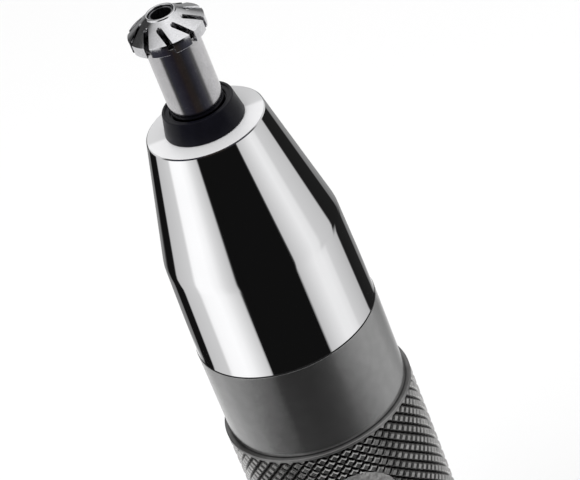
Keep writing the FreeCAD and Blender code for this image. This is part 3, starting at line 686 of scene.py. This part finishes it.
def cut_pad_window(sheet):
    """Cuts the pad's outline into the unrolled sheet and clears what is inside it."""
    reach_across = 1.2   # only faces this near to a side of the outline are cut
    reach_along = 0.8
    slack = 0.002
    outline = stadium(pad_width, pad_length, pad_mid)
    for (xa, za), (xb, zb) in zip(outline, outline[1:] + outline[:1]):
        along = Vector((xb - xa, 0, zb - za))
        half_side = along.length / 2
        middle = Vector(((xa + xb) / 2, 0, (za + zb) / 2))
        across = Vector((along.z, 0, -along.x)).normalized()
        along.normalize()
        near = set()
        for face in sheet.faces:
            offset = face.calc_center_median() - middle
            if abs(offset.dot(across)) < reach_across and abs(offset.dot(along)) < half_side + reach_along:
                near.update((face, *face.verts, *face.edges))
        bmesh.ops.bisect_plane(sheet, geom=list(near), dist=cut_weld, plane_co=middle, plane_no=across)
    run = (pad_length - pad_width) / 2
    inside = []
    for face in sheet.faces:
        centre = face.calc_center_median()
        if math.hypot(centre.x, max(0.0, abs(centre.z - pad_mid) - run)) < pad_width / 2 + slack:
            inside.append(face)
    bmesh.ops.delete(sheet, geom=inside, context="FACES")


def make_knurl():
    """The knurled skin as one closed wall: relief outside, the sleeve's bore inside."""
    sheet = knurl_sheet(grip_z0 + shoulder_land, grip_z1 - shoulder_land)
    cut_pad_window(sheet)
    for v in sheet.verts:
        v.co = on_grip(v.co.x, v.co.z, grip_radius - knurl_depth + v.co.y)
    bmesh.ops.remove_doubles(sheet, verts=sheet.verts, dist=2 * weld)
    border = [e for e in sheet.edges if e.is_boundary]
    relief = list(sheet.verts) + list(sheet.edges) + list(sheet.faces)
    twin = bmesh.ops.duplicate(sheet, geom=relief)["vert_map"]
    for edge in border:
        a, b = edge.verts
        sheet.faces.new((a, b, twin[b], twin[a]))
    for v in [g for g in relief if isinstance(g, bmesh.types.BMVert)]:
        x, y, z = v.co
        scale = sleeve_bore / math.hypot(x, y)
        twin[v].co = (x * scale, y * scale, z)
    data = bpy.data.meshes.new("grip_knurl")
    sheet.to_mesh(data)
    sheet.free()
    finish_mesh(data, "handle", "grip_metal", ["grip_sleeve"], sharp_deg=knurl_angle)


def make_grip_rims():
    """Plain rings that close the knurl at both ends."""
    for name, z0, z1, round_low, round_high in (
        ("grip_rim_top", grip_z1 - shoulder_land, grip_z1, 0, shoulder_round),
        ("grip_rim_bottom", grip_z0, grip_z0 + shoulder_land, shoulder_round, 0),
    ):
        outline = rounded([(sleeve_bore, z0), (grip_radius, z0, round_low), (grip_radius, z1, round_high),
                           (sleeve_bore, z1)])
        turned_piece(name, outline, "handle", "grip_metal", ["grip_sleeve"], look="rim_turned")


def make_grip_pad():
    """Smooth pad with the switch's recess and slot, through to the sleeve's bore."""
    surface = grip_radius - pad_drop

    def wrapped(inset, r):
        return [on_grip(x, z, r) for x, z in stadium(pad_width - 2 * inset, pad_length - 2 * inset, pad_mid)]

    def pressed(width, length, depth_at):
        return [(x, -depth_at(x), z) for x, z in stadium(width, length, pad_mid)]

    def recess(grow, depth_at):
        return pressed(recess_width + grow, recess_length + grow, depth_at)

    def slot(grow, depth_at):
        return pressed(slot_width + grow, slot_length + grow, depth_at)

    def skin(r, drop=0.0):
        return lambda x: math.sqrt(r * r - x * x) - drop

    def plane(lift=0.0):
        return lambda x: recess_plane + lift

    # Growth or shrinkage of an outline, for the loops that keep the faces beside an edge flat, for the
    # flat ring round the recess, and for the flat ring on its floor
    support = 0.1
    apron = 1.0
    well = 0.3
    loops = [wrapped(pad_gap, sleeve_bore), wrapped(pad_gap, surface - pad_edge)]
    for k in range(pad_edge_steps):
        a = math.radians(90 * (k + 1) / pad_edge_steps)
        loops.append(wrapped(pad_gap + pad_edge * (1 - math.cos(a)), surface - pad_edge * (1 - math.sin(a))))
    loops.append(wrapped(pad_gap + pad_edge + support, surface))
    loops.append(recess(apron, skin(surface)))
    loops.append(recess(2 * pad_lip + support, skin(surface)))
    for k in range(pad_edge_steps):
        a = math.radians(90 * k / (pad_edge_steps - 1))
        loops.append(recess(2 * pad_lip * (1 - math.sin(a)), skin(surface, pad_lip * (1 - math.cos(a)))))
    loops += [recess(0, plane(edge_fine)), recess(-support, plane()), recess(-well, plane())]
    loops += [slot(support, plane()), slot(0, plane(-edge_fine)), slot(0, skin(sleeve_bore))]
    loops.append(recess(0, skin(sleeve_bore)))
    finish_mesh(new_mesh("grip_pad", *loft(loops)), "handle", "grip_metal", ["grip_sleeve"],
                sharp_deg=cut_angle, look="pad_blast")


# ---------------------------------------------------------------- slide switch knob
def make_knob():
    """Stadium button with rounded grip grooves and its stem."""
    front = low("switch_knob").y
    back = high("switch_knob").y
    z0 = low("switch_knob").z
    z1 = high("switch_knob").z
    mid = (z0 + z1) / 2
    width = 2 * high("switch_knob").x
    face = front + knob_edge
    rear = -recess_plane - hair_gap
    rims = [(knob_back_edge, rear), (0, rear - knob_back_edge), (0, face)]
    for k in range(knob_edge_steps):
        a = math.radians(90 * (k + 1) / knob_edge_steps)
        rims.append((knob_edge * (1 - math.cos(a)), face - knob_edge * math.sin(a)))
    loops = []
    for inset, y in rims:
        loops.append([(x, y, z) for x, z in stadium(width - 2 * inset, z1 - z0 - 2 * inset, mid)])
    count = len(loops[0])
    points = [p for loop in loops for p in loop]
    faces = [tuple(range(count)), tuple(range(len(points) - count, len(points)))]
    for i in range(len(loops) - 1):
        faces += between_loops(i * count, (i + 1) * count, count)
    tools = []
    radius = knob_groove_pitch / 4 + knob_groove_flare
    outside = front - knob_groove_start
    depth = knob_groove_depth + knob_groove_start
    for k in range(knob_grooves):
        z = mid + (k - (knob_grooves - 1) / 2) * knob_groove_pitch
        section = []
        for i in range(knob_groove_steps + 1):
            a = math.pi * i / knob_groove_steps
            section.append((outside + depth * math.sin(a), z + radius * math.cos(a)))
        points_g, faces_g = prism(section, -width, width)
        tools.append((modelled("groove", [(x, y, z) for y, z, x in points_g], faces_g), "DIFFERENCE"))
    half = slot_width / 2 - stem_clearance
    root = rear - stem_root
    plan = [(-half, root), (half, root), (half, back), (-half, back)]
    tools.append((modelled("stem", *prism(plan, mid - stem_reach, mid + stem_reach)), "UNION"))
    data = shaped("knob_cap", modelled("knob", points, faces), tools, width=knob_bevel,
                  angle_limit=math.radians(knob_bevel_angle))
    finish_mesh(data, "switch", "knob_plastic", ["switch_knob"], sharp_deg=cut_angle)


# ---------------------------------------------------------------- head: collar, tube, guard
def make_collar():
    """Tapered collar with a stepped recess round the tube, over a spigot with its seal's groove."""
    z0 = low("head_collar").z
    foot = nose_z1 + hair_gap
    groove = collar_spigot - seal_groove_depth
    rim = collar_top - collar_rim
    step = collar_z1 - collar_step
    floor = collar_z1 - collar_recess
    bore = neck_radius + neck_fit
    outline = rounded([
        (neck_bore, z0, edge_soft), (collar_spigot, z0, edge_broad),
        (collar_spigot, z0 + seal_groove_z0, edge_fine), (groove, z0 + seal_groove_z0 + seal_groove_slope),
        (groove, z0 + seal_groove_z1 - seal_groove_slope), (collar_spigot, z0 + seal_groove_z1, edge_fine),
        (collar_spigot, foot), (collar_foot, foot, edge_small), (collar_top, collar_z1, edge_soft),
        (rim, collar_z1, edge_crisp), (rim, step, edge_hair), (collar_lip, step, edge_lip),
        (collar_lip, floor), (bore, floor), (bore, neck_z0), (neck_bore, neck_z0),
    ])
    turned_piece("collar_shell", outline, "cutting_head", "collar_plastic", ["head_collar"])


def make_neck():
    """Tube with a flange at its top that holds the guard."""
    flange = guard_radius - guard_wall - flange_fit
    flange_low = neck_z1 - flange_height
    outline = rounded([
        (neck_bore, neck_z0, edge_fine), (neck_radius, neck_z0, edge_fine), (neck_radius, flange_low),
        (flange, flange_low, edge_crisp), (flange, neck_z1, edge_crisp), (neck_bore, neck_z1, edge_fine),
    ], steps=3)
    turned_piece("neck_shell", outline, "cutting_head", "tube_steel", ["neck_tube"], neck_segments)


def smooth_turned_faces(data, cone_up, radius):
    """Gives the faces on the guard's cone and outer band the normals of a true cone and cylinder."""
    cone_slack = 0.01
    straight_out = 0.99
    band_slack = 0.02
    cone_out = math.sqrt(1 - cone_up ** 2)
    normals = [n.vector.copy() for n in data.corner_normals]
    for face in data.polygons:
        out = Vector((*face.center.xy, 0)).normalized()
        on_cone = face.normal.dot(out) > 0 and abs(face.normal.z - cone_up) < cone_slack
        on_band = face.normal.dot(out) > straight_out and face.center.xy.length > (radius - band_slack) * MM
        if not on_cone and not on_band:
            continue
        for corner in face.loop_indices:
            spot = data.vertices[data.loops[corner].vertex_index].co
            away = Vector((*spot.xy, 0)).normalized()
            if on_cone:
                away = Vector((away.x * cone_out, away.y * cone_out, cone_up))
            normals[corner] = away
    data.normals_split_custom_set(normals)


def guard_outline():
    """The guard before its slots are cut: outer band, cone, rim of the hole, and its even wall."""
    slope = math.atan(guard_slope)
    edge_z = guard_z0 + guard_band
    rim_z = edge_z + guard_slope * (guard_radius - guard_rim)
    inner_z = edge_z - guard_wall / math.cos(slope)
    bore = guard_radius - guard_wall
    throat = guard_hole + guard_throat_step
    throat_z = guard_z1 - guard_throat
    lip_z = guard_z0 + guard_lip_height
    return rounded([
        (guard_lip, guard_z0, edge_fine), (guard_radius, guard_z0, edge_broad),
        (guard_radius, edge_z, edge_fine), (guard_rim, rim_z, edge_lip),
        (guard_rim - guard_rim_lean, guard_z1, edge_full), (guard_hole, guard_z1, edge_full),
        (guard_hole, throat_z, edge_crisp), (throat, throat_z, edge_crisp),
        (throat, inner_z + guard_slope * (guard_radius - throat)),
        (bore, inner_z + guard_slope * (guard_radius - bore)), (bore, lip_z), (guard_lip, lip_z),
    ], steps=4, support=guard_support_gap)


def make_guard():
    """Slotted cone: turned blank, swirled slots with a round inner end, and fine broken edges."""
    half = guard_slot_width / 2
    side = -guard_hole
    start = math.sqrt(guard_slot_inner ** 2 - side ** 2)
    plan = [(guard_radius + 1, side - half), (guard_radius + 1, side + half)]
    for k in range(guard_slot_steps + 1):
        a = math.pi * k / guard_slot_steps
        plan.append((start - half * math.sin(a), side + half * math.cos(a)))
    tools = []
    for k in range(guard_slots):
        turn = math.radians(guard_slot_phase + 360 / guard_slots * k)
        spun = [(x * math.cos(turn) - y * math.sin(turn), x * math.sin(turn) + y * math.cos(turn))
                for x, y in plan]
        tools.append((modelled("slot", *prism(spun, guard_z0 - 1, guard_z1 + 1)), "DIFFERENCE"))
    data = shaped("guard_shell", modelled("guard", *lathe(guard_outline())), tools, width=guard_bevel,
                  angle_limit=math.radians(cut_angle))
    finish_mesh(data, "cutting_head", "head_steel", ["guard_cap"], sharp_deg=cut_angle)
    smooth_turned_faces(data, math.cos(math.atan(guard_slope)), guard_radius)


# ---------------------------------------------------------------- studio
# What surrounds the object and shows in its metal. Each strip table is read round the object, as
# (azimuth from the front in degrees, displayed grey or colour), positive to +X.
# Black cards stand in front and behind, softboxes at the sides. The upper cards show in the nose's
# upper taper, and the lower ones, whose edges lie a few degrees off theirs, in its lower taper.
upper_cards = (
    (-180, 130), (-165, 132), (-153, 120), (-150, 17), (-125.5, 17), (-123.5, 186), (-103, 198),
    (-94.5, 204), (-90, 248), (-84, 252), (-70, 253), (-60, 243), (-50, 215), (-38.4, 190),
    (-36.4, 16), (35, 16), (36.6, 190), (50, 212), (63, 232), (74, 225), (79, 202), (100, 192),
    (105.5, 188), (108, 27), (141, 30), (144, 125), (160, 138), (180, 140),
)
lower_cards = (
    (-180, 160), (-165, 134), (-148, 122), (-145, 17), (-125, 17), (-123, 190), (-103, 199),
    (-96.5, 202), (-92.5, 243), (-86, 249), (-70, 253), (-60, 243), (-50, 221), (-40, 198),
    (-38, 16), (35.5, 16), (37.5, 188), (50, 212), (63, 232), (74, 232), (84, 223), (88, 204),
    (102, 192), (115, 180), (117, 27), (148, 34), (151, 120), (165, 140), (180, 160),
)
# What mostly shows in the band, below the cards
table_top = (
    (-180, 190), (-160, 165), (-140, 160), (-120, 148), (-100, 122), (-80, 74), (-65, 26),
    (-52, 8), (-42, 20), (-33, 56), (-22, 52), (-10, 49), (5, 51), (18, 60), (28, 70), (34, 80),
    (42, 72), (50, 84), (60, 98), (90, 137), (120, 146), (145, 120), (160, 140), (180, 193),
)
# What mostly shows in the guard and the nose's flat top, above the cards and overhead
above_cards = (
    (-180, 200), (-168, 175), (-160, 60), (-124, 60), (-116, 165), (-104, 200), (-60, 238),
    (-39, 200), (-36, 16), (35, 16), (38, 200), (60, 235), (105, 235), (130, 215), (147, 165),
    (152, 90), (158, 90), (163, 165), (180, 200),
)
overhead = (
    (-180, 200), (-168, 175), (-160, 60), (-124, 60), (-116, 165), (-104, 200), (-60, 240),
    (60, 242), (105, 238), (130, 215), (147, 165), (152, 90), (158, 90), (163, 165), (180, 200),
)
# The layers upwards from white. Each gives the two heights of a ray's direction between which it
# fades in, its strips, and the reflectance of the metal that shows them.
layers = (
    (-0.80, -0.74, table_top, 0.40),
    (-0.56, -0.55, lower_cards, 0.9),
    (-0.51, -0.41, upper_cards, 0.9),
    (0.10, 0.16, above_cards, 0.9),
    (0.56, 0.66, overhead, 0.9),
)
soft_light = 0.85
# What shows in the neck tube
tent_strips = (
    (-180, 222), (-150, 205), (-110, 196), (-62.5, 184), (-55.5, 64), (-44, (46, 46, 54)),
    (-18, (32, 30, 37)), (-8, (40, 34, 32)), (6, (40, 36, 34)), (16, (38, 38, 44)),
    (31, (57, 57, 64)), (45, 84), (53, 178), (78, 190), (117, 198), (148, 214), (180, 222),
)
tent_reflectance = 0.75
tent_radius = 7.2
tent_below_top = 1.0
tent_steps = 72

# Metres for the floor, lamp and near clip, millimetres for the camera's place and aim
floor_reach = 2
lamp_place = (-0.25, -0.35, 0.75)
lamp_aim = (0, 0, 0.08)
lamp_size = 0.5
lamp_power = 3.0
camera_aim = (3.86, 0, 97.4)
camera_place = (3.86, -277.4, 277.3)
camera_roll = -21.87
camera_lens = 179.7
camera_sensor = 36
camera_near = 0.01


def shown(value):
    """Linear light that displays as a grey of 0 to 255."""
    c = value / 255
    return ((c + 0.055) / 1.055) ** 2.4


def strips(g, turn, stops, reflectance):
    """Ramp round the object that looks like its stops in metal of that reflectance."""
    places = []
    for a, v in stops:
        tint = v if hasattr(v, "__len__") else grey(v)
        places.append(((a + 180) / 360, [shown(c) / reflectance for c in tint]))
    return g.ramp(turn, places)


def make_world():
    """White to the camera, even soft light on dull surfaces, and the strips in reflections."""
    world = bpy.data.worlds.new("studio")
    world.use_nodes = True
    bpy.context.scene.world = world
    g = Graph(world.node_tree)
    turn, height = azimuth_of(g, g.node("TexCoord").outputs["Generated"])
    white = (1, 1, 1, 1)
    around = white
    for start, end, stops, reflectance in layers:
        around = g.mix(g.map_range(height, start, end), around, strips(g, turn, stops, reflectance))
    path = g.node("LightPath")
    gloss = g.node("Background", {"Color": around}).outputs[0]
    soft = g.node("Background", {"Color": white, "Strength": soft_light}).outputs[0]
    plain = g.node("Background", {"Color": white, "Strength": 1.0}).outputs[0]
    lit = g.node("MixShader", {0: path.outputs["Is Diffuse Ray"], 1: gloss, 2: soft}).outputs[0]
    seen = g.node("MixShader", {0: path.outputs["Is Camera Ray"], 1: lit, 2: plain}).outputs[0]
    g.node("OutputWorld", {"Surface": seen})


def make_head_tent():
    """Small light tent round the neck tube, seen only as a reflection."""
    z0 = nose_z1 + hair_gap
    z1 = neck_z1 - tent_below_top
    points, faces = [], []
    for k in range(tent_steps):
        a = FULL_TURN * k / tent_steps
        x, y = tent_radius * math.cos(a), tent_radius * math.sin(a)
        points += [Vector((x, y, z)) * MM for z in (z0, z1)]
        m = (k + 1) % tent_steps
        faces.append((2 * k, 2 * m, 2 * m + 1, 2 * k + 1))
    data = new_mesh("head_tent", points, faces)
    glow = bpy.data.materials.new("head_tent")
    glow.use_nodes = True
    g = Graph(glow.node_tree)
    turn, _ = azimuth_of(g, g.node("TexCoord").outputs["Object"])
    light = g.node("Emission", {"Color": strips(g, turn, tent_strips, tent_reflectance)})
    g.node("OutputMaterial", {"Surface": light.outputs[0]})
    data.materials.append(glow)
    tent = add_object("head_tent", data)
    for ray in ("camera", "diffuse", "transmission", "volume_scatter", "shadow"):
        setattr(tent, "visible_" + ray, False)


def make_floor():
    corners = [(x * floor_reach, y * floor_reach, 0) for x, y in ((-1, -1), (1, -1), (1, 1), (-1, 1))]
    floor = add_object("floor", new_mesh("floor", corners, [(0, 1, 2, 3)]))
    floor.data.materials.append(material("floor_white", grey(0.94), 0.9, mottle=0.0))
    floor.visible_glossy = False


def make_light():
    lamp = bpy.data.lights.new("softbox", "AREA")
    lamp.shape = "DISK"
    lamp.size = lamp_size
    lamp.energy = lamp_power
    light = add_object("softbox", lamp)
    light.location = lamp_place
    light.rotation_euler = (Vector(lamp_aim) - Vector(lamp_place)).to_track_quat("-Z", "Y").to_euler()
    light.visible_glossy = False


def make_camera():
    aim = Vector(camera_aim) * MM
    place = Vector(camera_place) * MM
    lens = bpy.data.cameras.new("camera")
    lens.sensor_width = camera_sensor
    lens.lens = camera_lens
    lens.clip_start = camera_near
    camera = add_object("camera", lens)
    turn = (aim - place).to_track_quat("-Z", "Y").to_matrix()
    roll = Matrix.Rotation(math.radians(camera_roll), 3, "Z")
    camera.matrix_world = Matrix.Translation(place) @ (turn @ roll).to_4x4()
    bpy.context.scene.camera = camera


slot_of = {part["node"]: part["material_slot"] for part in frame["record"]["subparts"]}
for name, node in frame["nodes"].items():
    node.data.materials.clear()
    node.data.materials.append(looks[slot_of[name]])

make_nose()
make_band()
make_end_cap()
make_knurl()
make_grip_rims()
make_grip_pad()
make_knob()
make_collar()
make_neck()
make_guard()
make_world()
make_head_tent()
make_floor()
make_light()
make_camera()
bpy.context.scene.view_settings.view_transform = "Standard"
